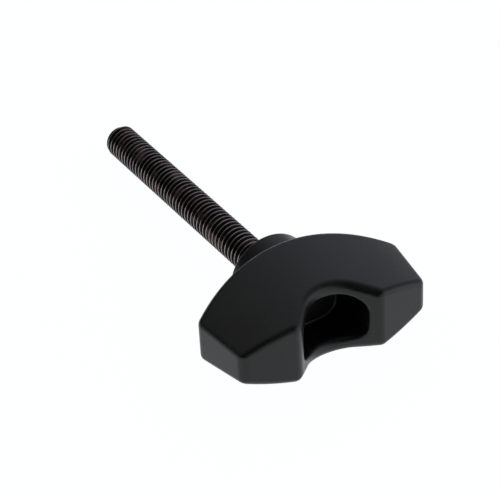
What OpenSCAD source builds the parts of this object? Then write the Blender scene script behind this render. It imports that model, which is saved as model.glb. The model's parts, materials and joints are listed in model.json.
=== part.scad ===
// Thumb screw: a crescent-shaped moulded knob on a fully threaded steel stud.
//
// The knob is drawn with the stud along +Y, its boss face at y = 0 and its mid-plane
// at z = 0. rest_pose() then lays it down as it comes to rest on a table: on the
// front lower edge of the head and on the tip of the stud. All sizes are millimetres.

/* [Head outline] */
// Full width across the front corners
front_w = 36.5; // [34:0.1:46]
// Full width across the rear corners
rear_w = 33.4; // [26:0.1:42]
// Gap between the two tips, where each would come to a sharp corner
tip_gap = 14.6; // [13:0.1:17]
// Boss face back to the middle of the front arc, which is how far the boss stands out
boss_len = 4.1; // [1:0.1:6]
// Boss face back to the front corners
front_corner_back = 9; // [6.5:0.1:12]
// Boss face back to the rear corners
rear_corner_back = 19.6; // [16:0.1:24]
// Boss face back to the tips
tip_back = 21.2; // [20:0.1:26]
// Boss face back to the floor of the notch
notch_back = 16.4; // [14:0.1:18]
// Radius of the floor of the notch, between its straight flared sides
notch_r = 5.9; // [5:0.1:6.4]

/* [Head thickness] */
// Thickness at the middle of the front arc
head_t = 17.1; // [14:0.1:21]
// Slope of each crowned face, falling towards the notch, in degrees
crown_slope = 8.5; // [4:0.1:11]
// Radius of each crowned face across the width
crown_r = 40; // [34:0.5:60]
// Rounding of the upper and lower edges, outside the notch
edge_r = 1.2; // [0.5:0.1:1.2]
// Rounding of the notch's upper and lower edges
notch_edge_r = 1.4; // [0.8:0.1:1.5]
// Rounding of the upright corners at both ends of the end facets
corner_r = 1.7; // [1.3:0.1:2]
// Rounding of the upright corners of the tips
tip_corner_r = 1.6; // [1.5:0.1:2.4]

/* [Boss] */
// Diameter of the boss
boss_d = 14; // [11:0.1:16]
// Rounding of the boss's rim
boss_edge_r = 0.5; // [0.2:0.1:1]

/* [Pocket] */
// Width of the pocket in the notch's wall
pocket_w = 12.1; // [8:0.1:12.4]
// Height of the pocket
pocket_h = 8.3; // [6:0.1:11.2]
// Boss face back to the pocket's end wall
pocket_back = 10.7; // [8:0.1:13]
// Squareness of the pocket: 2 is an ellipse, higher is closer to a rectangle
pocket_square = 3.4; // [2:0.1:4]

/* [Stud] */
// Thread diameter of the stud
stud_d = 6; // [4:0.5:8]
// Length of stud that stands out of the boss
stud_len = 50; // [20:1:80]
// Chamfer at the tip
tip_chamfer = 0.9; // [0.4:0.1:1.2]
// Depth of the plain buried neck below the thread's crests
neck_depth = 0.3; // [0.2:0.05:0.6]
// Height of the buried grip collar above the thread's crests
grip_height = 1; // [0.4:0.1:1.4]
// Length of the grip collar
grip_len = 3.5; // [2:0.1:3.9]
// Plastic left between the stud's buried end and the pocket
web_t = 2.2; // [1:0.1:4]
// Radial gap between the stud and the plastic moulded round it
mould_gap = 0.01; // [0.01:0.01:0.05]
// Radial gap round the thread at the mouth of the countersink it leaves through
mouth_gap = 0.1; // [0.05:0.05:0.3]

/* [Hidden] */

$fn = 96;

// Number of facets along each stretch of the head's outline. n_notch is odd, so that a
// facet, and not a corner, is the lowest place of the front edge, where the head rests
n_facet = 3;      // end facet
n_tip = 5;        // tip face
n_notch = 13;     // floor of the notch
n_flare = 2;      // each side of the notch
n_corner = 3;     // corner of the end facet
n_tip_corner = 4; // corner at the mouth of the notch
n_front = 2 * (n_tip + n_tip_corner + n_flare) + n_notch;
n_side = n_facet + 2 * n_corner;
n_round = 4;      // steps over each rounded edge
n_rim = 2 * (n_front + n_side);
n_pocket = 72;    // sides of the pocket's section

// How far a cut runs out of the solid that it opens
cut_past = 1;

stud_r = stud_d / 2;
neck_r = stud_r - neck_depth;
grip_r = stud_r + grip_height;
stud_buried = pocket_back - web_t;
neck_len = stud_buried - grip_len;
crown_fall = tan(crown_slope);

// Front arc through both front corners and the middle of the front
front_sag = front_corner_back - boss_len;
front_r = (pow(front_w / 2, 2) + pow(front_sag, 2)) / (2 * front_sag);
front_centre = [0, -boss_len - front_r];

// Centre of the arc that the notch has for its floor
notch_centre = [0, -notch_back - notch_r];

// Corners of the right half of the outline
front_corner = [front_w / 2, -front_corner_back];
rear_corner = [rear_w / 2, -rear_corner_back];
tip_corner = [tip_gap / 2, -tip_back];

// Outward normals of the right end facet, the right tip face and the right side of the
// notch, which runs from the tip's corner to where it touches the notch's floor arc
facet_n = side_normal(rear_corner, front_corner);
tip_n = side_normal(tip_corner, rear_corner);
tip_reach = tip_corner - notch_centre;
notch_half = bearing(tip_reach) - acos(notch_r / norm(tip_reach));
flare_n = -heading(notch_half);

// Axes of the roundings of the right half's upright corners
facet_dir = unit(front_corner - rear_corner);
tip_dir = unit(tip_corner - rear_corner);
front_axis = on_circle(front_centre, front_r - corner_r, rear_corner - corner_r * facet_n, facet_dir);
rear_axis = crossing(rear_corner - corner_r * facet_n, facet_dir, tip_corner - corner_r * tip_n, tip_dir);
tip_axis = crossing(
    tip_corner - tip_corner_r * flare_n, heading(notch_half + 90),
    tip_corner - tip_corner_r * tip_n, tip_dir);

function unit(v) = v / norm(v);
function mirrored(v) = [-v[0], v[1]];
function side_normal(a, b) = unit([b[1] - a[1], a[0] - b[0]]);

// Direction at an angle from +Y towards +X, and the angle of a direction
function heading(angle) = [sin(angle), cos(angle)];
function bearing(v) = atan2(v[0], v[1]);

// Where a line through a point, followed along a unit direction, leaves a circle
function on_circle(centre, r, from, dir) =
    let (e = from - centre, b = e * dir)
    from + dir * (-b + sqrt(b * b - e * e + r * r));

// Where two lines cross, each given by a point and a direction
function crossing(p, u, q, w) =
    let (d = q - p)
    p + u * ((d[0] * w[1] - d[1] * w[0]) / (u[0] * w[1] - u[1] * w[0]));

// Half thickness of the head at a place in plan
function crown(x, y) =
    head_t / 2 + crown_fall * (y + boss_len) - crown_r + sqrt(pow(crown_r, 2) - x * x);

// Outward normal of the upper crowned face
function crown_normal(x, y) =
    unit([x / sqrt(pow(crown_r, 2) - x * x), -crown_fall, 1]);

// Each stop on the rim is [centre of a ball that rounds the edge, outward heading,
// ball radius]. A turn rounds an upright corner, a run is straight and a bend is an
// arc, whose balls lie inside the front arc (side 1) or outside the notch (side -1).
function turn(axis, radius, a0, a1, n, r0, r1) =
    [for (i = [0:n - 1]) let (a = a0 + (a1 - a0) * i / n, r = r0 + (r1 - r0) * i / n)
        [axis + (radius - r) * heading(a), a, r]];
function run(from, to, a, n, r, inset) =
    [for (i = [0:n - 1]) [from + (to - from) * i / n + inset * heading(a), a, r]];
function bend(centre, radius, a0, a1, n, side, r) =
    [for (i = [0:n - 1]) let (a = a0 + (a1 - a0) * i / n)
        [centre + (radius - side * r) * heading(a), side > 0 ? a : a + 180, r]];

front_half = bearing(front_axis - front_centre);
facet_a = bearing(facet_n);
tip_a = bearing(tip_n);
mouth_a = notch_half + 180;
side_inset = corner_r - edge_r;
tip_start = tip_axis + (tip_corner_r - corner_r) * tip_n;

// The right half of the rim from the notch's floor round to the front arc
right_rim = concat(
    run(notch_centre - notch_r * flare_n, tip_axis + tip_corner_r * flare_n, mouth_a, n_flare,
        notch_edge_r, -notch_edge_r),
    turn(tip_axis, tip_corner_r, mouth_a, tip_a, n_tip_corner, notch_edge_r, edge_r),
    run(tip_start, rear_axis, tip_a, n_tip, edge_r, side_inset),
    turn(rear_axis, corner_r, tip_a, facet_a, n_corner, edge_r, edge_r),
    run(rear_axis, front_axis, facet_a, n_facet, edge_r, side_inset),
    turn(front_axis, corner_r, facet_a, front_half, n_corner, edge_r, edge_r));

// The front arc runs from right to left. The left half is the right half's mirror
// image, walked the other way, so its first stop is where the front arc ends.
front_rim = bend(front_centre, front_r, front_half, -front_half, n_front, 1, edge_r);
notch_rim = bend(notch_centre, notch_r, -notch_half, notch_half, n_notch, -1, notch_edge_r);
left_rim = [
    [mirrored(front_rim[0][0]), -front_half, edge_r],
    for (i = [len(right_rim) - 1:-1:1]) let (stop = right_rim[i])
        [mirrored(stop[0]), -stop[1], stop[2]]];
rim = concat(front_rim, left_rim, notch_rim, right_rim);

// A point on the upper rounded edge: share 0 is on the upright wall, 1 on the crown
function edge_point(stop, share) =
    let (
        c = stop[0],
        r = stop[2],
        wall = concat(heading(stop[1]), 0),
        top = crown_normal(c[0], c[1]),
        sweep = acos(wall * top),
        dir = (sin((1 - share) * sweep) * wall + sin(share * sweep) * top) / sin(sweep),
        z = crown(c[0], c[1]) - r / top[2])
    [c[0], c[1], z] + r * dir;

function upside_down(p) = [p[0], p[1], -p[2]];

// Rings from the edge of the upper crown down to the edge of the lower crown
upper_rings = [for (k = [0:n_round]) [for (stop = rim) edge_point(stop, 1 - k / n_round)]];
rings = concat(upper_rings,
    [for (k = [n_round:-1:0]) [for (p = upper_rings[k]) upside_down(p)]]);
last_ring = len(rings) - 1;

// Upper crown: a grid stretched between its four border curves. i counts from the
// right to the left end, j from the front arc to the notch
function border(i) = upper_rings[0][(i + n_rim) % n_rim];
function front_border(i) = border(i);
function left_border(j) = border(n_front + j);
function notch_border(i) = border(2 * n_front + n_side - i);
function right_border(j) = border(-j);
function grid_point(i, j) =
    let (
        u = i / n_front,
        v = j / n_side,
        p = (1 - v) * front_border(i) + v * notch_border(i)
            + (1 - u) * right_border(j) + u * left_border(j)
            - (1 - u) * (1 - v) * front_border(0) - u * (1 - v) * front_border(n_front)
            - (1 - u) * v * notch_border(0) - u * v * notch_border(n_front))
    [p[0], p[1], crown(p[0], p[1])];
upper_grid = [for (i = [1:n_front - 1]) for (j = [1:n_side - 1]) grid_point(i, j)];
lower_grid = [for (p = upper_grid) upside_down(p)];

skin = concat([for (ring = rings) for (p = ring) p], upper_grid, lower_grid);

// Index in skin of a place on a ring, and of a place on a crowned face's grid
function on_ring(k, i) = k * n_rim + (i + n_rim) % n_rim;
function on_grid(ring, first, i, j) =
    j == 0 ? on_ring(ring, i)
    : i == n_front ? on_ring(ring, n_front + j)
    : j == n_side ? on_ring(ring, 2 * n_front + n_side - i)
    : i == 0 ? on_ring(ring, -j)
    : first + (i - 1) * (n_side - 1) + j - 1;
first_upper = len(rings) * n_rim;
first_lower = first_upper + len(upper_grid);

// Two triangles for a four-sided patch whose corners run clockwise seen from outside
function patch(a, b, c, d) = [[a, b, c], [a, c, d]];

wall_faces = [for (k = [0:last_ring - 1]) for (i = [0:n_rim - 1])
    each patch(on_ring(k, i), on_ring(k, i + 1), on_ring(k + 1, i + 1), on_ring(k + 1, i))];
upper_faces = [for (i = [0:n_front - 1]) for (j = [0:n_side - 1])
    each patch(
        on_grid(0, first_upper, i, j), on_grid(0, first_upper, i, j + 1),
        on_grid(0, first_upper, i + 1, j + 1), on_grid(0, first_upper, i + 1, j))];
lower_faces = [for (i = [0:n_front - 1]) for (j = [0:n_side - 1])
    each patch(
        on_grid(last_ring, first_lower, i, j), on_grid(last_ring, first_lower, i + 1, j),
        on_grid(last_ring, first_lower, i + 1, j + 1), on_grid(last_ring, first_lower, i, j + 1))];

// Rest: the stud's lower side touches the floor where the tip's chamfer starts, and so
// does whichever of two rounded edges, each [y, z, radius], calls for the steeper tilt:
// the head's front lower edge or the boss's rim
rest_y = -boss_len - edge_r;
supports = [
    [rest_y, edge_r / crown_normal(0, rest_y)[2] - crown(0, rest_y), edge_r],
    [-boss_edge_r, boss_edge_r - boss_d / 2, boss_edge_r]];
function tilt_on(support) =
    let (to_tip = [stud_len - tip_chamfer - support[0], -stud_r - support[1]])
    atan2(to_tip[1], to_tip[0]) + asin(support[2] / norm(to_tip));
rest_tilt = max([for (support = supports) tilt_on(support)]);

// After the tilt: height of the stud's axis at the boss face, and the two ends in Y
lift = (stud_len - tip_chamfer) * sin(rest_tilt) + stud_r * cos(rest_tilt);
far_end = stud_len * cos(rest_tilt) + (stud_r - tip_chamfer) * sin(rest_tilt);
near_end = min([for (p = skin) p[1] * cos(rest_tilt) + p[2] * sin(rest_tilt)]);

module rest_pose() {
    translate([0, -(far_end + near_end) / 2, lift])
        rotate([-rest_tilt, 0, 0])
            children();
}

// A turned shape whose axis is +Y, from a profile drawn as [radius, length along +Y]
module turned() {
    rotate([-90, 0, 0])
        rotate_extrude()
            children();
}

module head() {
    polyhedron(points = skin, faces = concat(wall_faces, upper_faces, lower_faces), convexity = 6);
}

// Boss with a rounded rim, which runs back into the head as far as the front corners
module boss() {
    flat_r = boss_d / 2 - boss_edge_r;
    turned() {
        translate([0, -front_corner_back])
            square([boss_d / 2, front_corner_back - boss_edge_r]);
        translate([0, -front_corner_back])
            square([flat_r, front_corner_back]);
        translate([flat_r, -boss_edge_r])
            circle(r = boss_edge_r);
    }
}

// Hollow core behind the notch's wall, a rounded section carried straight along Y
module pocket() {
    power = 2 / pocket_square;
    section = [for (i = [0:n_pocket - 1]) let (a = 360 * i / n_pocket)
        [pocket_w / 2 * sign(cos(a)) * pow(abs(cos(a)), power),
         pocket_h / 2 * sign(sin(a)) * pow(abs(sin(a)), power)]];
    translate([0, -pocket_back, 0])
        rotate([90, 0, 0])
            linear_extrude(height = tip_back - pocket_back + cut_past)
                polygon(section);
}

// The buried end as [radius, length along +Y]: the grip collar and the start of the
// neck, made larger all round by a gap
function buried_profile(gap) = [
    [0, -stud_buried], [grip_r + gap, -stud_buried],
    [grip_r + gap, -neck_len], [neck_r + gap, -neck_len]];

// Hole moulded round the stud's buried end, with a 45 degree countersink at its mouth
module stud_seat() {
    mouth_r = stud_r + mouth_gap;
    turned()
        polygon(concat(buried_profile(mould_gap), [
            [neck_r + mould_gap, neck_r + mould_gap - mouth_r],
            [mouth_r, 0], [mouth_r, cut_past], [0, cut_past]]));
}

module knob() {
    color("#2c2d2f")
        rest_pose()
            difference() {
                union() {
                    head();
                    boss();
                }
                pocket();
                stud_seat();
            }
}

module stud() {
    color("#3a3634")
        rest_pose()
            turned()
                polygon(concat(buried_profile(0), [
                    [neck_r, 0], [stud_r, 0], [stud_r, stud_len - tip_chamfer],
                    [stud_r - tip_chamfer, stud_len], [0, stud_len]]));
}

knob();
stud();
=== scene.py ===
"""Thumb screw: a moulded crescent-shaped knob on a fully threaded steel stud, lying at rest.

Sizes are in millimetres, in the object's own frame: the stud runs along +Y, the boss's end
face is the plane y = 0, and the knob is the same above and below the plane z = 0. Stance
carries that frame into the row frame, in metres.
"""

from __future__ import annotations

import json
import logging
import math
from dataclasses import dataclass, field
from enum import Enum

import bpy
import numpy as np
from mathutils import Matrix, Vector


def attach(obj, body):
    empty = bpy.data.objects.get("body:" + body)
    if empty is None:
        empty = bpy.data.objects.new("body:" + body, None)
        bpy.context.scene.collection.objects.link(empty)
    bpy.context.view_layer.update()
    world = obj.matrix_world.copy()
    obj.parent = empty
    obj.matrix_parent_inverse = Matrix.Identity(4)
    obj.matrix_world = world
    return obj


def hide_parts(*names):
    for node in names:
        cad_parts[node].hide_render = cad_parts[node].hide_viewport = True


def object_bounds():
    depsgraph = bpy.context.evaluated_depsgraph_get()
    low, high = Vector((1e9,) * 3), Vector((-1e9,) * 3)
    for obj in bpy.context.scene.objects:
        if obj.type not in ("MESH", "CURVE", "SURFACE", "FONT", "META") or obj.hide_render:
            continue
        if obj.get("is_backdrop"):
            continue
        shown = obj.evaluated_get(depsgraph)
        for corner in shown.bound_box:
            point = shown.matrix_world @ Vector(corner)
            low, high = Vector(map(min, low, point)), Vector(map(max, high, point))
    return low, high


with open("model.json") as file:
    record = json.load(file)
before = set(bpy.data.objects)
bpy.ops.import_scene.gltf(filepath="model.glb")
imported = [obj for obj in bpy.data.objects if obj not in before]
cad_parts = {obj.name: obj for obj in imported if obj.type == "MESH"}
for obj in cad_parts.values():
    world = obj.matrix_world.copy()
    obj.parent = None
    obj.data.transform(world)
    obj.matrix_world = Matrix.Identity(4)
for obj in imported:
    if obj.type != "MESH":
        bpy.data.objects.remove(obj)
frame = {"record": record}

Array = np.ndarray
log = logging.getLogger("thumb_screw")

MM = 0.001

# Points this close are one point. The shift keeps round sizes off the edges of the rounding.
WELD_MM = 1e-4
WELD_SHIFT = 0.137
# What a rounding falls short of its full leg by, in millimetres, so that no two points meet.
HAIR = 1e-3
# The touching point of a ball and the crown's normal there are found in turn, this often.
TOUCH_ROUNDS = 4
# Most values of a noise lie between these.
NOISE_SPAN = (0.3, 0.7)


class Slot(Enum):
    """The record's material slots."""

    KNOB = "knob_plastic"
    STUD = "stud_steel"


class Side(Enum):
    """Which side of an arc in plan the solid lies on."""

    INSIDE = 1
    OUTSIDE = -1


# ---------------------------------------------------------------- directions and blends


def heading(angle: Array | float) -> Array:
    """Unit direction in plan at an angle, in radians, from +Y towards +X."""
    return np.stack([np.sin(angle), np.cos(angle)], axis=-1)


def bearing(v: Array) -> float:
    """Angle of a direction in plan, in radians, from +Y towards +X."""
    return math.atan2(v[0], v[1])


def unit(v: Array) -> Array:
    """Vectors over their own length."""
    return v / np.linalg.norm(v, axis=-1, keepdims=True)


def flat(v: Array) -> Array:
    """Directions in plan, given a z of zero."""
    return np.concatenate([v, np.zeros_like(v[..., :1])], axis=-1)


def arc_between(start: Array, end: Array, steps: int) -> Array:
    """Unit directions that turn evenly from one direction to another.

    At share s of the sweep w the direction is (sin((1 - s) w) start + sin(s w) end) / sin w.

    Args:
        start: Unit directions, of shape (n, 3).
        end: Unit directions to reach, of shape (n, 3).
        steps: Number of equal turns.

    Returns:
        Directions of shape (steps + 1, n, 3).
    """
    sweep = np.arccos(np.clip((start * end).sum(-1), -1, 1))[None, :, None]
    share = np.linspace(0, 1, steps + 1)[:, None, None]
    return (np.sin((1 - share) * sweep) * start + np.sin(share * sweep) * end) / np.sin(sweep)


def rounded_polyline(corners: list[tuple[float, float]], radii: list[float],
                     steps: int) -> tuple[Array, Array]:
    """A polyline whose inner corners are arcs, with the normal on its left at each point.

    Each arc touches both of its legs, radius x tan(half the turn) from the corner, and its
    points are its centre plus the radius along directions that turn evenly.

    Args:
        corners: Corner points.
        radii: Arc radius at each corner; the first and last are not used.
        steps: Segments in each arc.

    Returns:
        Points and unit left-hand normals, each of shape (n, 2).
    """
    path = np.array(corners, float)
    legs = unit(np.diff(path, axis=0))
    left = np.stack([-legs[:, 1], legs[:, 0]], axis=1)
    points, normals = [path[:1]], [left[:1]]
    for k in range(1, len(path) - 1):
        before, after = left[k - 1], left[k]
        turn = math.atan2(legs[k - 1, 0] * legs[k, 1] - legs[k - 1, 1] * legs[k, 0], legs[k - 1] @ legs[k])
        hand = math.copysign(1.0, turn)
        centre = path[k] - legs[k - 1] * radii[k] * abs(math.tan(turn / 2)) + hand * radii[k] * before
        along = arc_between(flat(before[None]), flat(after[None]), steps)[:, 0, :2]
        points.append(centre - hand * radii[k] * along)
        normals.append(along)
    points.append(path[-1:])
    normals.append(left[-1:])
    return np.concatenate(points), np.concatenate(normals)


def crossing(p: Array, u: Array, q: Array, w: Array) -> Array:
    """Where two lines in plan cross, each given by a point and a direction."""
    d = q - p
    return p + u * ((d[0] * w[1] - d[1] * w[0]) / (u[0] * w[1] - u[1] * w[0]))


@dataclass(frozen=True)
class WallLine:
    """An upright wall in plan: an arc round a point on the Y axis, with straight tangent ends."""

    centre_y: float
    radius: float
    half: float
    side: Side

    def at(self, x: Array, inset: float = 0.0) -> tuple[Array, Array]:
        """The wall at given places across the width, or the line beside it.

        With R the arc's radius moved into the solid by the inset, the angle is arcsin(x / R)
        up to the half angle and stays there beyond it, and y is the centre's plus R cos(angle)
        less what the straight end falls past the arc, (|x| - R sin|angle|) tan(half).

        Args:
            x: Places along X.
            inset: How far into the solid the line lies; less than zero is outside it.

        Returns:
            Places along Y, and the wall's outward directions in plan.
        """
        r = self.radius - self.side.value * inset
        angle = np.clip(np.arcsin(np.clip(x / r, -1, 1)), -self.half, self.half)
        past = np.abs(x) - r * np.sin(np.abs(angle))
        y = self.centre_y + r * np.cos(angle) - past * math.tan(self.half)
        return y, self.side.value * heading(angle)


# ---------------------------------------------------------------- surfaces and pieces


@dataclass
class Surface:
    """A grid of points, of shape (rows, columns, 3), with the outward normal at each."""

    points: Array
    normals: Array

    def upside_down(self) -> Surface:
        """The same surface mirrored in the plane z = 0."""
        flip = np.array([1, 1, -1])
        return Surface(self.points * flip, self.normals * flip)

    def quads(self, first: int) -> Array:
        """The grid's cells, wound so that they face the way the normals do.

        Args:
            first: Index of the grid's first point in the piece's list of points.

        Returns:
            Indices of shape (cells, 4).
        """
        rows, columns = self.points.shape[:2]
        index = first + np.arange(rows * columns).reshape(rows, columns)
        cells = np.stack([index[:-1, :-1], index[:-1, 1:], index[1:, 1:], index[1:, :-1]], axis=-1)
        across = self.points[1:, 1:] - self.points[:-1, :-1]
        along = self.points[1:, :-1] - self.points[:-1, 1:]
        facing = (np.cross(across, along) * self.normals[:-1, :-1]).sum()
        cells = cells.reshape(-1, 4)
        return cells if facing > 0 else cells[:, ::-1]


def weld(surfaces: list[Surface]) -> tuple[Array, Array, list[list[int]]]:
    """Join surfaces into one skin along the points that they share.

    Points that agree to WELD_MM become one point. A cell that loses a corner that way, as at a
    pole, becomes a triangle, and one that loses two is dropped.

    Args:
        surfaces: Grids whose borders meet point for point.

    Returns:
        Points, normals and faces of the skin.
    """
    points = np.concatenate([s.points.reshape(-1, 3) for s in surfaces])
    normals = np.concatenate([s.normals.reshape(-1, 3) for s in surfaces])
    starts = np.cumsum([0] + [s.points.shape[0] * s.points.shape[1] for s in surfaces])
    quads = np.concatenate([s.quads(int(first)) for s, first in zip(surfaces, starts)])
    _, kept, merged = np.unique(np.round(points / WELD_MM + WELD_SHIFT).astype(np.int64), axis=0,
                                return_index=True, return_inverse=True)
    quads = merged.reshape(-1)[quads]
    doubled = quads == np.roll(quads, -1, axis=1)
    whole = quads[doubled.sum(1) == 0]
    pinched = quads[doubled.sum(1) == 1]
    triangles = pinched[~doubled[doubled.sum(1) == 1]].reshape(-1, 3)
    return points[kept], normals[kept], whole.tolist() + triangles.tolist()


@dataclass
class Stance:
    """The object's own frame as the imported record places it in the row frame."""

    origin: Vector = field(init=False)
    turn: Matrix = field(init=False)

    def __post_init__(self) -> None:
        """Take the stud's axis, and the boss face's place along it, from the mounts."""
        mounts = {mount["name"]: mount for mount in frame["record"]["mounts"]}
        along = Vector(mounts["stud"]["axis"]).normalized()
        on_axis = Vector(mounts["stud"]["pos_m"])
        self.origin = on_axis + along * along.dot(Vector(mounts["boss_face"]["pos_m"]) - on_axis)
        across = Vector((1, 0, 0))
        self.turn = Matrix((across, along, across.cross(along))).transposed()

    def points(self, local: Array) -> Array:
        """Points in the row frame, in metres, from points in the object's frame."""
        return local @ np.array(self.turn).T * MM + np.array(self.origin)

    def directions(self, local: Array) -> Array:
        """Directions in the row frame from directions in the object's frame."""
        return local @ np.array(self.turn).T


def add_piece(name: str, skin: tuple[Array, Array, list[list[int]]], stance: Stance,
              node: str) -> bpy.types.Object:
    """Make one piece from a welded skin, in place of the CAD node that it stands for.

    Args:
        name: The piece's name.
        skin: Points, normals and faces in the object's frame.
        stance: The object's frame.
        node: CAD node that the piece replaces.

    Returns:
        The new object, at the origin, with its place in its mesh.
    """
    points, normals, faces = skin
    mesh = bpy.data.meshes.new(name)
    mesh.from_pydata(stance.points(points), [], faces)
    mesh.polygons.foreach_set("use_smooth", np.ones(len(faces), bool))
    mesh.normals_split_custom_set_from_vertices(stance.directions(unit(normals)))
    mesh.validate()
    mesh.update()
    piece = bpy.data.objects.new(name, mesh)
    bpy.context.scene.collection.objects.link(piece)
    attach(piece, "root")
    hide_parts(node)
    log.info("%s: %d points, %d faces", name, len(points), len(faces))
    return piece


# ---------------------------------------------------------------- finishes


def linear(colour: str) -> tuple[float, float, float, float]:
    """Linear red, green, blue and alpha of an sRGB hex colour.

    Args:
        colour: A colour such as "#2c2d2f".

    Returns:
        Each channel c as c / 12.92 up to 0.04045, and ((c + 0.055) / 1.055) ^ 2.4 above it.
    """
    srgb = np.array([int(colour[k:k + 2], 16) for k in (1, 3, 5)]) / 255
    rgb = np.where(srgb <= 0.04045, srgb / 12.92, ((srgb + 0.055) / 1.055) ** 2.4)
    return (*rgb.tolist(), 1.0)


def add_node(tree: bpy.types.NodeTree, kind: str, settings: dict | None = None,
             inputs: dict | None = None) -> bpy.types.Node:
    """Add one shader node.

    Args:
        tree: The node tree.
        kind: Blender's name for the node's type.
        settings: Values for the node's own properties.
        inputs: For each input socket, by name or number, a value or the socket that feeds it.

    Returns:
        The new node.
    """
    node = tree.nodes.new(kind)
    for name, value in (settings or {}).items():
        setattr(node, name, value)
    for name, value in (inputs or {}).items():
        if isinstance(value, bpy.types.NodeSocket):
            tree.links.new(value, node.inputs[name])
        else:
            node.inputs[name].default_value = value
    return node


def arithmetic(tree: bpy.types.NodeTree, operation: str,
               *values: float | bpy.types.NodeSocket) -> bpy.types.NodeSocket:
    """The result of one Math node."""
    return add_node(tree, "ShaderNodeMath", {"operation": operation}, dict(enumerate(values))).outputs[0]


def noise(tree: bpy.types.NodeTree, place: bpy.types.NodeSocket, size_mm: float,
          detail: float, roughness: float) -> bpy.types.NodeSocket:
    """Fractal noise whose coarsest features are about as large as given."""
    return add_node(tree, "ShaderNodeTexNoise", inputs={
        "Vector": place, "Scale": 1 / (size_mm * MM),
        "Detail": detail, "Roughness": roughness}).outputs["Fac"]


def blend(tree: bpy.types.NodeTree, share: bpy.types.NodeSocket,
          low: object, high: object) -> bpy.types.NodeSocket:
    """The colour at a share of the way from one colour to another."""
    return add_node(tree, "ShaderNodeMix", {"data_type": "RGBA"}, {0: share, 6: low, 7: high}).outputs[2]


def remap(tree: bpy.types.NodeTree, value: bpy.types.NodeSocket, span: tuple[float, float],
          to: tuple[float, float] = (0.0, 1.0), curve: str = "LINEAR") -> bpy.types.NodeSocket:
    """A value carried from one span to another, and held at its ends."""
    return add_node(tree, "ShaderNodeMapRange", {"interpolation_type": curve}, {
        "Value": value, "From Min": span[0], "From Max": span[1],
        "To Min": to[0], "To Max": to[1]}).outputs[0]


def new_material(name: str) -> tuple[bpy.types.Material, bpy.types.NodeTree]:
    """An empty material and its node tree."""
    material = bpy.data.materials.new(name)
    material.use_nodes = True
    material.node_tree.nodes.clear()
    return material, material.node_tree


@dataclass(frozen=True)
class MouldedNylon:
    """Black glass-filled nylon, moulded in a die with a fine spark-eroded texture.

    The eye gets a matt, nearly neutral black with a soft sheen that whitens at a low angle,
    broken up by a fine grain, and a pale speck of dust here and there. The real grain is too
    fine to show in the render, so it is drawn as coarse as it needs to be to show.
    """

    dark: str = "#040404"
    pale: str = "#171918"
    grain_weight: float = 1.4
    pale_span: tuple[float, float] = (0.9, 1.5)
    roughness: tuple[float, float] = (0.30, 0.42)
    specular: float = 0.45
    ior: float = 1.45
    grain_mm: float = 0.32
    grain_depth_mm: float = 0.02
    flow_mm: float = 9.0
    dust: str = "#8c8f92"
    dust_apart_mm: float = 3.0
    dust_mm: float = 0.2
    dust_share: float = 0.12

    def build(self) -> bpy.types.Material:
        """The finish as a material on Object coordinates."""
        material, tree = new_material("black_moulded_nylon")
        place = add_node(tree, "ShaderNodeTexCoord").outputs["Object"]
        flow = noise(tree, place, self.flow_mm, 3.0, 0.6)
        grain = noise(tree, place, self.grain_mm, 2.0, 0.55)
        mottle = arithmetic(tree, "MULTIPLY_ADD", grain, self.grain_weight, flow)
        tone = blend(tree, remap(tree, mottle, self.pale_span), linear(self.dark), linear(self.pale))
        cell = add_node(tree, "ShaderNodeTexVoronoi", inputs={
            "Vector": place, "Scale": 1 / (self.dust_apart_mm * MM)})
        near = arithmetic(tree, "LESS_THAN", cell.outputs["Distance"], self.dust_mm / 2 / self.dust_apart_mm)
        drawn = add_node(tree, "ShaderNodeSeparateColor", inputs={"Color": cell.outputs["Color"]})
        chosen = arithmetic(tree, "LESS_THAN", drawn.outputs["Red"], self.dust_share)
        dusted = blend(tree, arithmetic(tree, "MULTIPLY", near, chosen), tone, linear(self.dust))
        relief = add_node(tree, "ShaderNodeBump", inputs={
            "Strength": 1.0, "Distance": self.grain_depth_mm * MM, "Height": grain})
        shader = add_node(tree, "ShaderNodeBsdfPrincipled", inputs={
            "Base Color": dusted, "Roughness": remap(tree, grain, NOISE_SPAN, self.roughness),
            "IOR": self.ior, "Specular IOR Level": self.specular, "Normal": relief.outputs["Normal"]})
        add_node(tree, "ShaderNodeOutputMaterial", inputs={"Surface": shader.outputs[0]})
        return material


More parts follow.
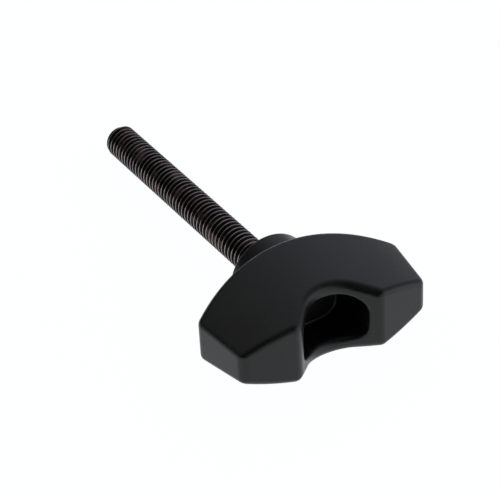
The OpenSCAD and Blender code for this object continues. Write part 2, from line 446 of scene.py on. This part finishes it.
@dataclass(frozen=True)
class BlackOxideSteel:
    """Rolled steel thread with a black oxide coat and a film of oil.

    The eye gets a black metal with a breath of red. The crests are painted pale grey by the
    thread's height as a painted highlight, each a thin grey line of light that breaks here and
    there, while the grooves keep the dark coat and go fully dark. A reddish film of oil has dried in
    patches.
    """

    groove: str = "#161213"
    film: str = "#51413d"
    film_mm: float = 3.5
    # The crest colour is a painted highlight: a pale grey laid on the crests by the thread's height.
    crest: str = "#aaa09f"
    film_span: tuple[float, float] = (0.48, 0.68)
    crest_highlight_span: tuple[float, float] = (0.84, 1.0)
    patch_span: tuple[float, float] = (0.35, 0.65)
    least_crest_highlight: float = 0.45
    roughness: tuple[float, float] = (0.24, 0.38)
    blotch_mm: float = 1.2

    def build(self) -> bpy.types.Material:
        """The finish as a material on Object coordinates and the thread's own attribute."""
        material, tree = new_material("black_oxide_steel")
        place = add_node(tree, "ShaderNodeTexCoord").outputs["Object"]
        height = add_node(tree, "ShaderNodeAttribute", {"attribute_name": Stud.HEIGHT}).outputs["Fac"]
        blotch = noise(tree, place, self.blotch_mm, 4.0, 0.7)
        # Painted highlight: the crests are lightened by the thread's height, and blotch noise breaks it up
        # in patches.
        crest_highlight = remap(tree, height, self.crest_highlight_span, curve="SMOOTHSTEP")
        patchy = remap(tree, blotch, self.patch_span, (self.least_crest_highlight, 1.0))
        crest_highlight_share = arithmetic(tree, "MULTIPLY", crest_highlight, patchy)
        oily = remap(tree, noise(tree, place, self.film_mm, 3.0, 0.6), self.film_span, curve="SMOOTHSTEP")
        coat = blend(tree, oily, linear(self.groove), linear(self.film))
        shader = add_node(tree, "ShaderNodeBsdfPrincipled", inputs={
            "Base Color": blend(tree, crest_highlight_share, coat, linear(self.crest)), "Metallic": 1.0,
            "Roughness": remap(tree, blotch, NOISE_SPAN, self.roughness)})
        add_node(tree, "ShaderNodeOutputMaterial", inputs={"Surface": shader.outputs[0]})
        return material


# ---------------------------------------------------------------- the knob


@dataclass
class Knob:
    """The moulded knob: a crescent head with crowned faces, its boss, pocket and stud seat."""

    front_w: float = 36.5
    rear_w: float = 33.4
    tip_gap: float = 14.6
    boss_len: float = 4.1
    front_corner_back: float = 9.0
    rear_corner_back: float = 19.6
    tip_back: float = 21.2
    notch_back: float = 16.4
    notch_r: float = 5.9
    head_t: float = 17.1
    crown_slope: float = math.radians(8.5)
    crown_r: float = 40.0
    edge_r: float = 1.2
    notch_edge_r: float = 1.4
    corner_r: float = 1.7
    tip_corner_r: float = 1.6
    boss_d: float = 14.0
    boss_edge_r: float = 0.5
    boss_fillet_r: float = 0.25
    pocket_w: float = 12.1
    pocket_h: float = 8.3
    pocket_back: float = 10.7
    pocket_square: float = 3.4
    mouth_edge_r: float = 1.0
    pocket_fillet_r: float = 0.5
    # The stud's hole, as radius and place along Y: countersink, neck, collar and inner end.
    seat_profile: list[tuple[float, float]] = field(default_factory=lambda: [
        (3.1, 0.0), (2.71, -0.39), (2.71, -5.0), (4.01, -5.0), (4.01, -8.5), (0.0, -8.5)])
    seat_edge_r: float = 0.04
    seat_corner_r: float = 0.1
    patch_ease: float = 0.7

    n_facet: int = 14
    n_tip: int = 14
    n_corner: int = 8
    n_tip_corner: int = 8
    n_flare: int = 12
    n_notch: int = 72
    n_round: int = 8
    n_wall: int = 24
    n_patch: int = 10
    n_boss: int = 3

    def __post_init__(self) -> None:
        """Work out the outline's arcs, and the axes of the upright corners' roundings."""
        self.n_front = 2 * (self.n_tip + self.n_tip_corner + self.n_flare) + self.n_notch
        self.n_side = self.n_facet + 2 * self.n_corner
        sag = self.front_corner_back - self.boss_len
        self.front_r = ((self.front_w / 2) ** 2 + sag**2) / (2 * sag)
        self.front_centre = np.array([0, -self.boss_len - self.front_r])
        self.notch_centre = np.array([0, -self.notch_back - self.notch_r])

        front_corner = np.array([self.front_w / 2, -self.front_corner_back])
        rear_corner = np.array([self.rear_w / 2, -self.rear_corner_back])
        tip_corner = np.array([self.tip_gap / 2, -self.tip_back])
        facet_dir = unit(front_corner - rear_corner)
        tip_dir = unit(tip_corner - rear_corner)
        facet_n = np.array([facet_dir[1], -facet_dir[0]])
        tip_n = np.array([-tip_dir[1], tip_dir[0]])
        facet_line = rear_corner - self.corner_r * facet_n
        self.front_axis = self.leaves_circle(
            self.front_centre, self.front_r - self.corner_r, facet_line, facet_dir)
        self.rear_axis = crossing(facet_line, facet_dir, tip_corner - self.corner_r * tip_n, tip_dir)
        reach = tip_corner - self.notch_centre
        self.notch_half = bearing(reach) - math.acos(self.notch_r / np.linalg.norm(reach))
        flare_n = heading(self.notch_half)
        self.tip_axis = crossing(
            tip_corner + self.tip_corner_r * flare_n, np.array([flare_n[1], -flare_n[0]]),
            tip_corner - self.tip_corner_r * tip_n, tip_dir)
        self.facet_n, self.tip_n = facet_n, tip_n
        self.front_half = bearing(self.front_axis - self.front_centre)
        self.front_line = WallLine(self.front_centre[1], self.front_r, self.front_half, Side.INSIDE)
        self.notch_line = WallLine(self.notch_centre[1], self.notch_r, self.notch_half, Side.OUTSIDE)

    @staticmethod
    def leaves_circle(centre: Array, radius: float, start: Array, direction: Array) -> Array:
        """Where a line through a point, followed along a unit direction, leaves a circle.

        With e the point less the centre and b = e . direction, the way to go is
        -b + sqrt(b^2 - e . e + radius^2).

        Args:
            centre: The circle's centre.
            radius: The circle's radius.
            start: The point.
            direction: The unit direction.

        Returns:
            The place on the circle.
        """
        e = start - centre
        b = e @ direction
        return start + direction * (-b + math.sqrt(b * b - e @ e + radius**2))

    # The rim is an array of stops, one row each: the centre in plan of a ball that rounds the
    # edge, the outward heading and the ball's radius.

    def turn(self, axis: Array, radius: float, start: float, end: float, n: int,
             ball: tuple[float, float]) -> Array:
        """Stops round an upright corner.

        Args:
            axis: Axis of the corner's rounding.
            radius: Radius of that rounding.
            start: First heading.
            end: Heading that the next stretch starts from.
            n: Number of stops.
            ball: Ball radius at the start and at the end.

        Returns:
            Stops whose ball centres lie on the axis plus (radius - ball radius) x heading.
        """
        share = np.arange(n) / n
        angle = start + (end - start) * share
        r = ball[0] + (ball[1] - ball[0]) * share
        return np.column_stack([axis + (radius - r)[:, None] * heading(angle), angle, r])

    def run(self, start: Array, end: Array, angle: float, n: int, ball: float) -> Array:
        """Stops along a straight face at one heading, from one ball centre towards another.

        Args:
            start: First ball centre.
            end: Ball centre that the next stretch starts from.
            angle: The face's heading.
            n: Number of stops.
            ball: Ball radius.

        Returns:
            Stops evenly spaced from the start.
        """
        share = (np.arange(n) / n)[:, None]
        return np.column_stack([start + (end - start) * share, np.full(n, angle), np.full(n, ball)])

    def bend(self, centre: Array, radius: float, start: float, end: float, n: int,
             side: Side, ball: float) -> Array:
        """Stops along an arc, whose balls lie inside it or, for the notch, outside it.

        Args:
            centre: The arc's centre in plan.
            radius: The arc's radius.
            start: First angle round the centre.
            end: Angle that the next stretch starts from.
            n: Number of stops.
            side: Side of the arc that the solid lies on.
            ball: Ball radius.

        Returns:
            Stops evenly spaced from the start.
        """
        angle = start + (end - start) * np.arange(n) / n
        out = angle if side is Side.INSIDE else angle + math.pi
        centres = centre + (radius - side.value * ball) * heading(angle)
        return np.column_stack([centres, out, np.full(n, ball)])

    def rim(self) -> Array:
        """All the stops: front arc from right to left, left half, notch, right half."""
        facet_a, tip_a, mouth_a = bearing(self.facet_n), bearing(self.tip_n), self.notch_half + math.pi
        edge, notch_edge = self.edge_r, self.notch_edge_r
        facet_inset, tip_inset = ((self.corner_r - edge) * n for n in (self.facet_n, self.tip_n))
        flare_n = heading(self.notch_half)
        right = np.concatenate([
            self.run(self.notch_centre + (self.notch_r + notch_edge) * flare_n,
                     self.tip_axis - (self.tip_corner_r - notch_edge) * flare_n,
                     mouth_a, self.n_flare, notch_edge),
            self.turn(self.tip_axis, self.tip_corner_r, mouth_a, tip_a, self.n_tip_corner,
                      (notch_edge, edge)),
            self.run(self.tip_axis + (self.tip_corner_r - edge) * self.tip_n, self.rear_axis + tip_inset,
                     tip_a, self.n_tip, edge),
            self.turn(self.rear_axis, self.corner_r, tip_a, facet_a, self.n_corner, (edge, edge)),
            self.run(self.rear_axis + facet_inset, self.front_axis + facet_inset,
                     facet_a, self.n_facet, edge),
            self.turn(self.front_axis, self.corner_r, facet_a, self.front_half, self.n_corner,
                      (edge, edge))])
        front = self.bend(self.front_centre, self.front_r, self.front_half, -self.front_half,
                          self.n_front, Side.INSIDE, edge)
        notch = self.bend(self.notch_centre, self.notch_r, -self.notch_half, self.notch_half,
                          self.n_notch, Side.OUTSIDE, notch_edge)
        mirror = np.array([-1, 1, -1, 1])
        left = np.concatenate([front[:1] * mirror, right[:0:-1] * mirror])
        return np.concatenate([front, left, notch, right])

    def crown(self, x: Array, y: Array) -> Array:
        """Half thickness of the head: a slope along Y less the sag of a circle across X."""
        return (self.head_t / 2 + math.tan(self.crown_slope) * (y + self.boss_len)
                - self.crown_r + np.sqrt(self.crown_r**2 - x**2))

    def crown_normal(self, x: Array, y: Array) -> Array:
        """Outward normal of the upper crowned face: (x over the circle's height, -slope, 1)."""
        tilt = np.full_like(y, -math.tan(self.crown_slope))
        return unit(np.stack([x / np.sqrt(self.crown_r**2 - x**2), tilt, np.ones_like(x)], axis=-1))

    def rounded_edge(self, rim: Array) -> Surface:
        """The upper rounded edge: balls that touch the upright wall and the crowned face.

        Each ball's centre lies one radius below the crown, along its normal, and the surface
        is the centre plus the radius times directions that turn from the wall to the crown.

        Args:
            rim: The stops.

        Returns:
            A closed band whose first row is on the wall and whose last is on the crown.
        """
        centre, angle, r = rim[:, :2], rim[:, 2], rim[:, 3]
        touch = centre
        for _ in range(TOUCH_ROUNDS):
            touch = centre + r[:, None] * self.crown_normal(touch[:, 0], touch[:, 1])[:, :2]
        up = self.crown_normal(touch[:, 0], touch[:, 1])
        ball = np.column_stack([centre, self.crown(touch[:, 0], touch[:, 1]) - r * up[:, 2]])
        out = arc_between(flat(heading(angle)), up, self.n_round)
        return Surface(ball + r[:, None] * out, out)

    def crowned_face(self, border: Array) -> Surface:
        """The upper crowned face, stretched in plan between the rounded edge's four sides.

        A point's plan place is the blend of the front and notch sides, plus the blend of the
        two ends, less the blend of the four corners; its height is the crown's.

        Args:
            border: Upper row of the rounded edge, one point for each stop.

        Returns:
            A grid from the front arc to the notch, and from the right end to the left.
        """
        nf, ns = self.n_front, self.n_side
        front, left = border[:nf + 1, :2], border[nf:nf + ns + 1, :2]
        rear = border[nf + ns:2 * nf + ns + 1, :2][::-1]
        right = np.concatenate([border[:1, :2], border[:-ns - 1:-1, :2]])
        u = np.linspace(0, 1, nf + 1)[None, :, None]
        v = np.linspace(0, 1, ns + 1)[:, None, None]
        plan = ((1 - v) * front + v * rear + (1 - u) * right[:, None] + u * left[:, None]
                - (1 - u) * (1 - v) * front[0] - u * (1 - v) * front[-1]
                - (1 - u) * v * rear[0] - u * v * rear[-1])
        x, y = plan[..., 0], plan[..., 1]
        return Surface(np.stack([x, y, self.crown(x, y)], axis=-1), self.crown_normal(x, y))

    def upright_walls(self, edge: Surface) -> list[Surface]:
        """The flat and rounded walls of both ends, between the upper and lower edges.

        Args:
            edge: The upper rounded edge, whose first row is on the walls.

        Returns:
            The left end's wall and the right end's.
        """
        top, normal = edge.points[0], edge.normals[0]
        n_half = self.n_tip_corner + self.n_tip + self.n_side
        left = slice(self.n_front, self.n_front + n_half + 1)
        right = np.r_[-n_half:1]
        drop = np.linspace(1, -1, self.n_wall + 1)[:, None]
        walls = []
        for stops in (left, right):
            p, n = top[stops], normal[stops]
            z = drop * p[:, 2]
            points = np.stack([*(np.broadcast_to(p[:, k], z.shape) for k in (0, 1)), z], axis=-1)
            walls.append(Surface(points, np.broadcast_to(n, points.shape)))
        return walls

    def wall_border(self, top: Array) -> Array:
        """The closed border of a curved wall: its upper edge, one end, lower edge, other end.

        Args:
            top: The upper edge.

        Returns:
            Points all the way round, of which the last is the first again.
        """
        rise = np.linspace(1, -1, self.n_wall + 1)[1:-1, None]
        ends = [np.column_stack([np.repeat(p[None, :2], len(rise), axis=0), rise * p[2]])
                for p in (top[-1], top[0])]
        lower = top[::-1] * np.array([1, 1, -1])
        return np.concatenate([top, ends[0], lower, ends[1][::-1], top[:1]])

    def holed_wall(self, border: Array, hole: Array, line: WallLine) -> Surface:
        """An upright wall from its border in to a hole.

        Place across the width and height are both blended in a straight line, and the wall's
        line in plan gives the third, so every point is on the wall.

        Args:
            border: Closed loop of points on the wall.
            hole: As many points round the hole, each in the same direction as the border's.
            line: The wall in plan.

        Returns:
            A ring of cells from the hole out to the border.
        """
        share = np.linspace(0, 1, self.n_patch + 1)[:, None] ** self.patch_ease
        x, z = ((1 - share) * hole[:, k] + share * border[:, k] for k in (0, 2))
        y, out = line.at(x)
        return Surface(np.stack([x, y, z], axis=-1), flat(out))

    def pocket_section(self, direction: Array) -> tuple[Array, Array]:
        """The pocket's section, a superellipse, where it is cut along given directions.

        Along direction a the radius is (|cos a / half width|^p + |sin a / half height|^p)^(-1/p),
        and the normal is that sum's gradient.

        Args:
            direction: Angles from +X towards +Z.

        Returns:
            Points and outward normals in the XZ plane.
        """
        p = self.pocket_square
        half = np.array([self.pocket_w, self.pocket_h]) / 2
        ray = np.stack([np.cos(direction), np.sin(direction)], axis=-1)
        point = ray * ((np.abs(ray / half) ** p).sum(-1) ** (-1 / p))[:, None]
        return point, unit(np.sign(point) * np.abs(point / half) ** (p - 1) / half)

    def pocket(self, border: Array) -> list[Surface]:
        """The notch's wall and the pocket behind it, with rounded mouth and inner corner.

        Args:
            border: The notch wall's border.

        Returns:
            The wall, the mouth's rounding, the tube, its inner corner and the end wall.
        """
        section, out = self.pocket_section(np.arctan2(border[:, 2], border[:, 0]))
        r = self.mouth_edge_r
        ball = section + r * out
        ball_y, wall_out = self.notch_line.at(ball[:, 0], inset=r)
        centre = np.stack([ball[:, 0], ball_y, ball[:, 1]], axis=-1)
        to_wall = flat(wall_out)
        to_tube = np.stack([-out[:, 0], np.zeros(len(out)), -out[:, 1]], axis=-1)
        mouth = arc_between(to_wall, to_tube, self.n_round)
        wall = self.holed_wall(border, centre + r * to_wall, self.notch_line)

        inner = self.pocket_fillet_r
        end = -self.pocket_back
        y = ball_y + (end - inner - ball_y) * np.linspace(0, 1, self.n_patch + 1)[:, None]
        x, z = (np.broadcast_to(section[:, k], y.shape) for k in (0, 1))
        tube = np.stack([x, y, z], axis=-1)
        ahead = np.broadcast_to(np.array([0.0, 1.0, 0.0]), to_tube.shape)
        fillet = arc_between(-to_tube, ahead, self.n_round)
        foot = tube[-1] + inner * to_tube
        rim = foot + inner * fillet[-1]
        shrink = np.linspace(1, 0, self.n_patch + 1)[:, None, None]
        middle = np.array([0, end, 0])
        return [
            wall,
            Surface(centre + r * mouth, mouth),
            Surface(tube, np.broadcast_to(to_tube, tube.shape)),
            Surface(foot + inner * fillet, -fillet),
            Surface(middle + (rim - middle) * shrink, np.broadcast_to(-ahead, (len(shrink), *rim.shape)))]

    def boss(self, border: Array) -> list[Surface]:
        """The front wall, and the boss that stands on it with the hole for the stud.

        Args:
            border: The front wall's border.

        Returns:
            The wall, the fillet at the boss's foot, its side, and its turned end and hole.
        """
        direction = np.arctan2(border[:, 2], border[:, 0])
        spoke = np.stack([np.cos(direction), np.zeros(len(direction)), np.sin(direction)], axis=-1)
        r, boss_r = self.boss_fillet_r, self.boss_d / 2
        centre = (boss_r + r) * spoke
        centre[:, 1], wall_out = self.front_line.at(centre[:, 0], inset=-r)
        to_wall = -flat(wall_out)
        fillet = arc_between(to_wall, -spoke, self.n_round)
        wall = self.holed_wall(border, centre + r * to_wall, self.front_line)

        y = centre[:, 1] + (-self.boss_edge_r - centre[:, 1]) * np.linspace(0, 1, self.n_boss + 1)[:, None]
        side = boss_r * spoke[None] + np.array([0, 1, 0]) * y[..., None]
        corners = [(boss_r, -self.boss_edge_r), (boss_r, 0.0), *self.seat_profile]
        radii = [0.0, self.boss_edge_r - HAIR, *[self.seat_edge_r] * 2, *[self.seat_corner_r] * 3, 0.0]
        profile, normal = rounded_polyline(corners, radii, self.n_round)
        return [
            wall,
            Surface(centre + r * fillet, -fillet),
            Surface(side, np.broadcast_to(spoke, side.shape)),
            revolved(profile, -normal, spoke)]

    def build(self, stance: Stance, finish: MouldedNylon) -> bpy.types.Object:
        """Make the knob as one closed piece and dress it.

        Args:
            stance: The object's frame.
            finish: The plastic.

        Returns:
            The piece.
        """
        rim = self.rim()
        edge = self.rounded_edge(rim)
        closed = Surface(*(np.concatenate([a, a[:, :1]], axis=1) for a in (edge.points, edge.normals)))
        top = self.crowned_face(edge.points[-1])
        notch_start = self.n_front + self.n_tip_corner + self.n_tip + self.n_side
        foot = edge.points[0]
        notch_end = notch_start + 2 * self.n_flare + self.n_notch
        surfaces = [
            closed, closed.upside_down(), top, top.upside_down(), *self.upright_walls(edge),
            *self.pocket(self.wall_border(foot[notch_start:notch_end + 1])),
            *self.boss(self.wall_border(foot[:self.n_front + 1]))]
        piece = add_piece("moulded_knob", weld(surfaces), stance, "knob")
        piece.data.materials.append(finish.build())
        return piece


def revolved(profile: Array, normal: Array, spoke: Array) -> Surface:
    """A profile carried round the Y axis.

    Args:
        profile: Radius and place along Y of each point.
        normal: Outward normal of each, as (along the radius, along Y).
        spoke: Unit directions away from the axis, one for each column.

    Returns:
        Points radius x spoke + y, with the normals turned the same way.
    """
    along = np.array([0.0, 1.0, 0.0])
    points = profile[:, :1, None] * spoke + profile[:, 1:, None] * along
    return Surface(points, normal[:, :1, None] * spoke + normal[:, 1:, None] * along)


# ---------------------------------------------------------------- the stud


@dataclass
class Stud:
    """The steel stud: a rolled M6 x 1 thread, and the neck and collar that the knob grips.

    Its crests measure 5.8 mm across, inside the nominal 6 mm, as a rolled thread's do.
    """

    HEIGHT = "thread_height"

    major_r: float = 2.9
    pitch: float = 1.0
    length: float = 50.0
    tip_chamfer: float = 0.85
    crest_flat: float = 0.17
    crest_r: float = 0.08
    root_r: float = 0.144
    flank_angle: float = math.radians(30)
    sharp_angle: float = math.radians(38)
    phase: float = 0.737
    neck_r: float = 2.7
    collar_r: float = 4.0
    collar_from: float = -5.0
    buried: float = -8.5
    collar_chamfer: float = 0.2
    knurls: int = 24
    knurl_depth: float = 0.12

    columns: int = 96
    crest_steps: int = 2
    root_steps: int = 4

    def thread_profile(self) -> tuple[Array, Array]:
        """One pitch of the thread, from crest to crest, with 60 degrees between the flanks.

        Returns:
            Place along the pitch and radius, over a flat crest, a flank to a rounded root and
            the flank back.
        """
        flank = self.pitch / 2 - self.crest_flat / 2
        sharp_root = self.major_r - flank / math.tan(self.flank_angle)
        corners = [(0, self.major_r), (self.crest_flat / 2, self.major_r), (self.pitch / 2, sharp_root),
                   (self.pitch - self.crest_flat / 2, self.major_r), (self.pitch, self.major_r)]
        path = [rounded_polyline(corners[:3], [0, self.crest_r, 0], self.crest_steps)[0][:-1],
                rounded_polyline(corners[1:4], [0, self.root_r, 0], self.root_steps)[0][1:-1],
                rounded_polyline(corners[2:], [0, self.crest_r, 0], self.crest_steps)[0][1:]]
        profile = np.concatenate(path)
        return profile[:, 0], profile[:, 1]

    def thread(self) -> Surface:
        """The thread as a sheared grid, so that its rows follow the crests and roots.

        At angle a round the axis, a row's place is its place on the profile plus the pitch
        times a / (2 pi), cut off at both ends. The radius is the profile's there, less where
        the tip's chamfer or the cone down to the neck is lower.

        Returns:
            The surface from the neck to the edge of the tip.
        """
        place, radius = self.thread_profile()
        turns = np.arange(-2, math.ceil(self.length / self.pitch) + 2)
        row = (turns[:, None] * self.pitch + place[:-1]).reshape(-1, 1)
        angle = np.linspace(0, 2 * math.pi, self.columns + 1)
        shift = self.phase + self.pitch * angle / (2 * math.pi)
        low = self.neck_r - self.major_r
        y = np.clip(row + shift, low, self.length)
        r = np.interp((y - shift) % self.pitch, place, radius)
        r = np.minimum(r, np.minimum(self.major_r + y, self.major_r - self.tip_chamfer + self.length - y))
        r = np.where(y <= low, self.neck_r, r)
        spoke = self.spokes(angle)
        points = r[..., None] * spoke + y[..., None] * np.array([0, 1, 0])
        return Surface(points, np.broadcast_to(spoke, points.shape))

    def spokes(self, angle: Array) -> Array:
        """Directions away from the axis, turning as a right-hand thread does along +Y."""
        return np.stack([np.sin(angle), np.zeros_like(angle), np.cos(angle)], axis=-1)

    def ends(self) -> list[Surface]:
        """The tip's flat end, and the neck, knurled collar and inner end inside the knob.

        The collar's radius is its own less a depth times (1 - cos(knurls x angle)) / 2.

        Returns:
            Two grids that close the thread.
        """
        angle = np.linspace(0, 2 * math.pi, self.columns + 1)
        spoke = self.spokes(angle)
        tip_r = self.major_r - self.tip_chamfer
        tip = revolved(np.array([[tip_r, self.length], [0, self.length]]), np.array([[0, 1], [0, 1]]), spoke)
        c, start, end = self.collar_chamfer, self.collar_from, self.buried
        profile = np.array([
            [self.neck_r, self.neck_r - self.major_r], [self.neck_r, start], [self.collar_r - c, start],
            [self.collar_r, start - c], [self.collar_r, end + c], [self.collar_r - c, end], [0, end]])
        out = np.array([[1, 0], [1, 1], [1, 1], [1, 0], [1, 0], [1, -1], [0, -1]], float)
        shank = revolved(profile, out, spoke)
        groove = self.knurl_depth * (1 - np.cos(self.knurls * angle)) / 2
        shank.points[3:5] -= groove[None, :, None] * spoke
        return [tip, shank]

    def build(self, stance: Stance, finish: BlackOxideSteel) -> bpy.types.Object:
        """Make the stud as one closed piece and dress it.

        Args:
            stance: The object's frame.
            finish: The steel.

        Returns:
            The piece.
        """
        skin = weld([self.thread(), *self.ends()])
        piece = add_piece("threaded_stud", skin, stance, "stud")
        mesh = piece.data
        mesh.normals_split_custom_set([(0, 0, 0)] * len(mesh.loops))
        mesh.set_sharp_from_angle(angle=self.sharp_angle)
        root = self.thread_profile()[1].min()
        height = (np.hypot(skin[0][:, 0], skin[0][:, 2]) - root) / (self.major_r - root)
        mesh.attributes.new(self.HEIGHT, "FLOAT", "POINT").data.foreach_set("value", np.clip(height, 0, 1))
        mesh.materials.append(finish.build())
        return piece


# ---------------------------------------------------------------- the stage


# Faint tints of some of the soft lights.
COOL = "#edf2ff"
MINT = "#f5fff6"


@dataclass(frozen=True)
class SoftLight:
    """A soft round light far away: its strength at the middle, fading evenly outwards."""

    azimuth: float
    elevation: float
    strength: float
    colour: str = "#ffffff"
    sharpness: float = 12.0

    def glow(self, tree: bpy.types.NodeTree, direction: bpy.types.NodeSocket) -> bpy.types.NodeSocket:
        """Colour x strength x exp(sharpness x (cosine of the angle from the middle - 1)).

        Args:
            tree: The world's node tree.
            direction: The direction that is looked in.

        Returns:
            The socket that holds the light that comes from that direction.
        """
        a, e = math.radians(self.azimuth), math.radians(self.elevation)
        middle = (math.sin(a) * math.cos(e), math.cos(a) * math.cos(e), math.sin(e))
        cosine = add_node(tree, "ShaderNodeVectorMath", {"operation": "DOT_PRODUCT"}, {
            0: direction, 1: middle}).outputs["Value"]
        power = arithmetic(tree, "MULTIPLY_ADD", cosine, self.sharpness, -self.sharpness)
        strength = arithmetic(tree, "MULTIPLY", arithmetic(tree, "EXPONENT", power), self.strength)
        return add_node(tree, "ShaderNodeVectorMath", {"operation": "SCALE"}, {
            0: linear(self.colour)[:3], "Scale": strength}).outputs[0]


@dataclass
class Studio:
    """A white table in a dark room, with soft lights behind, above and on both sides.

    The strongest is low on the right. Azimuths run from +Y towards +X, and the camera's side of
    the room, near 210, stays dark.
    """

    table_m: float = 4.0
    table_white: str = "#f2f2f2"
    table_glow: float = 1.1
    glow_colour: str = "#fafcff"
    glow_share: float = 0.92
    lights: tuple[SoftLight, ...] = (
        SoftLight(azimuth=60, elevation=5, strength=0.22),
        SoftLight(azimuth=120, elevation=5, strength=1.5, colour=COOL),
        SoftLight(azimuth=150, elevation=5, strength=0.9),
        SoftLight(azimuth=180, elevation=5, strength=0.5),
        SoftLight(azimuth=36, elevation=30, strength=0.52, colour=COOL),
        SoftLight(azimuth=72, elevation=30, strength=0.44, colour=COOL),
        SoftLight(azimuth=288, elevation=30, strength=0.3, colour=MINT),
        SoftLight(azimuth=0, elevation=55, strength=0.3),
        SoftLight(azimuth=60, elevation=55, strength=0.33, colour=COOL),
        SoftLight(azimuth=120, elevation=55, strength=0.15),
        SoftLight(azimuth=240, elevation=55, strength=0.07),
        SoftLight(azimuth=300, elevation=55, strength=0.25),
        SoftLight(azimuth=0, elevation=85, strength=0.12))

    def table(self) -> bpy.types.Object:
        """The table top under the object: it reads white, and keeps a faint soft shadow."""
        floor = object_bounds()[0].z
        half = self.table_m / 2
        mesh = bpy.data.meshes.new("table_top")
        corners = [(x * half, y * half, floor) for x, y in ((-1, -1), (1, -1), (1, 1), (-1, 1))]
        mesh.from_pydata(corners, [], [(0, 1, 2, 3)])
        material, tree = new_material("white_table")
        paper = add_node(tree, "ShaderNodeBsdfDiffuse", inputs={"Color": linear(self.table_white)})
        glow = add_node(tree, "ShaderNodeEmission", inputs={
            "Color": linear(self.glow_colour), "Strength": self.table_glow})
        path = add_node(tree, "ShaderNodeLightPath")
        direct = arithmetic(tree, "MAXIMUM", path.outputs["Is Camera Ray"], path.outputs["Is Glossy Ray"])
        seen = arithmetic(tree, "MAXIMUM", direct, path.outputs["Is Transmission Ray"])
        mix = add_node(tree, "ShaderNodeMixShader", inputs={
            0: arithmetic(tree, "MULTIPLY", seen, self.glow_share), 1: paper.outputs[0], 2: glow.outputs[0]})
        add_node(tree, "ShaderNodeOutputMaterial", inputs={"Surface": mix.outputs[0]})
        mesh.materials.append(material)
        table = bpy.data.objects.new("table_top", mesh)
        bpy.context.scene.collection.objects.link(table)
        table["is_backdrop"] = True
        return table

    def room(self) -> None:
        """The world: the sum of the soft lights, and nothing else."""
        world = bpy.data.worlds.new("studio_room")
        bpy.context.scene.world = world
        world.use_nodes = True
        tree = world.node_tree
        tree.nodes.clear()
        direction = add_node(tree, "ShaderNodeTexCoord").outputs["Generated"]
        total = self.lights[0].glow(tree, direction)
        for light in self.lights[1:]:
            total = add_node(tree, "ShaderNodeVectorMath", {"operation": "ADD"}, {
                0: total, 1: light.glow(tree, direction)}).outputs[0]
        sky = add_node(tree, "ShaderNodeBackground", inputs={"Color": total, "Strength": 1.0})
        add_node(tree, "ShaderNodeOutputWorld", inputs={"Surface": sky.outputs[0]})


@dataclass
class ViewPoint:
    """Where the camera stands: it looks down at the knob's hollow side."""

    azimuth: float = -31.963
    elevation: float = 39.561
    roll: float = 0.373
    distance_mm: float = 308.138
    aim_mm: tuple[float, float, float] = (2.440, -5.072, -3.645)
    lens_mm: float = 135.438

    def build(self) -> bpy.types.Object:
        """The camera, aimed at a point a little off the middle of the object's box."""
        low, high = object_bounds()
        aim = (low + high) / 2 + Vector(self.aim_mm) * MM
        a, e = math.radians(self.azimuth), math.radians(self.elevation)
        back = Vector((math.sin(a) * math.cos(e), -math.cos(a) * math.cos(e), math.sin(e)))
        data = bpy.data.cameras.new("camera")
        data.lens = self.lens_mm
        data.sensor_width = 36.0
        data.clip_start, data.clip_end = 0.01, 20.0
        camera = bpy.data.objects.new("camera", data)
        camera.location = aim + back * self.distance_mm * MM
        camera.rotation_mode = "QUATERNION"
        level = (-back).to_track_quat("-Z", "Y")
        camera.rotation_quaternion = level @ Matrix.Rotation(math.radians(self.roll), 3, "Z").to_quaternion()
        bpy.context.scene.collection.objects.link(camera)
        bpy.context.scene.camera = camera
        return camera


def main() -> None:
    """Build the thumb screw, its stage and its camera."""
    logging.basicConfig(level=logging.INFO, format="%(message)s")
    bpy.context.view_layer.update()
    stance = Stance()
    Knob().build(stance, MouldedNylon())
    Stud().build(stance, BlackOxideSteel())
    studio = Studio()
    studio.table()
    studio.room()
    ViewPoint().build()
    bpy.context.scene.view_settings.view_transform = "Standard"


if __name__ == "__main__":
    main()
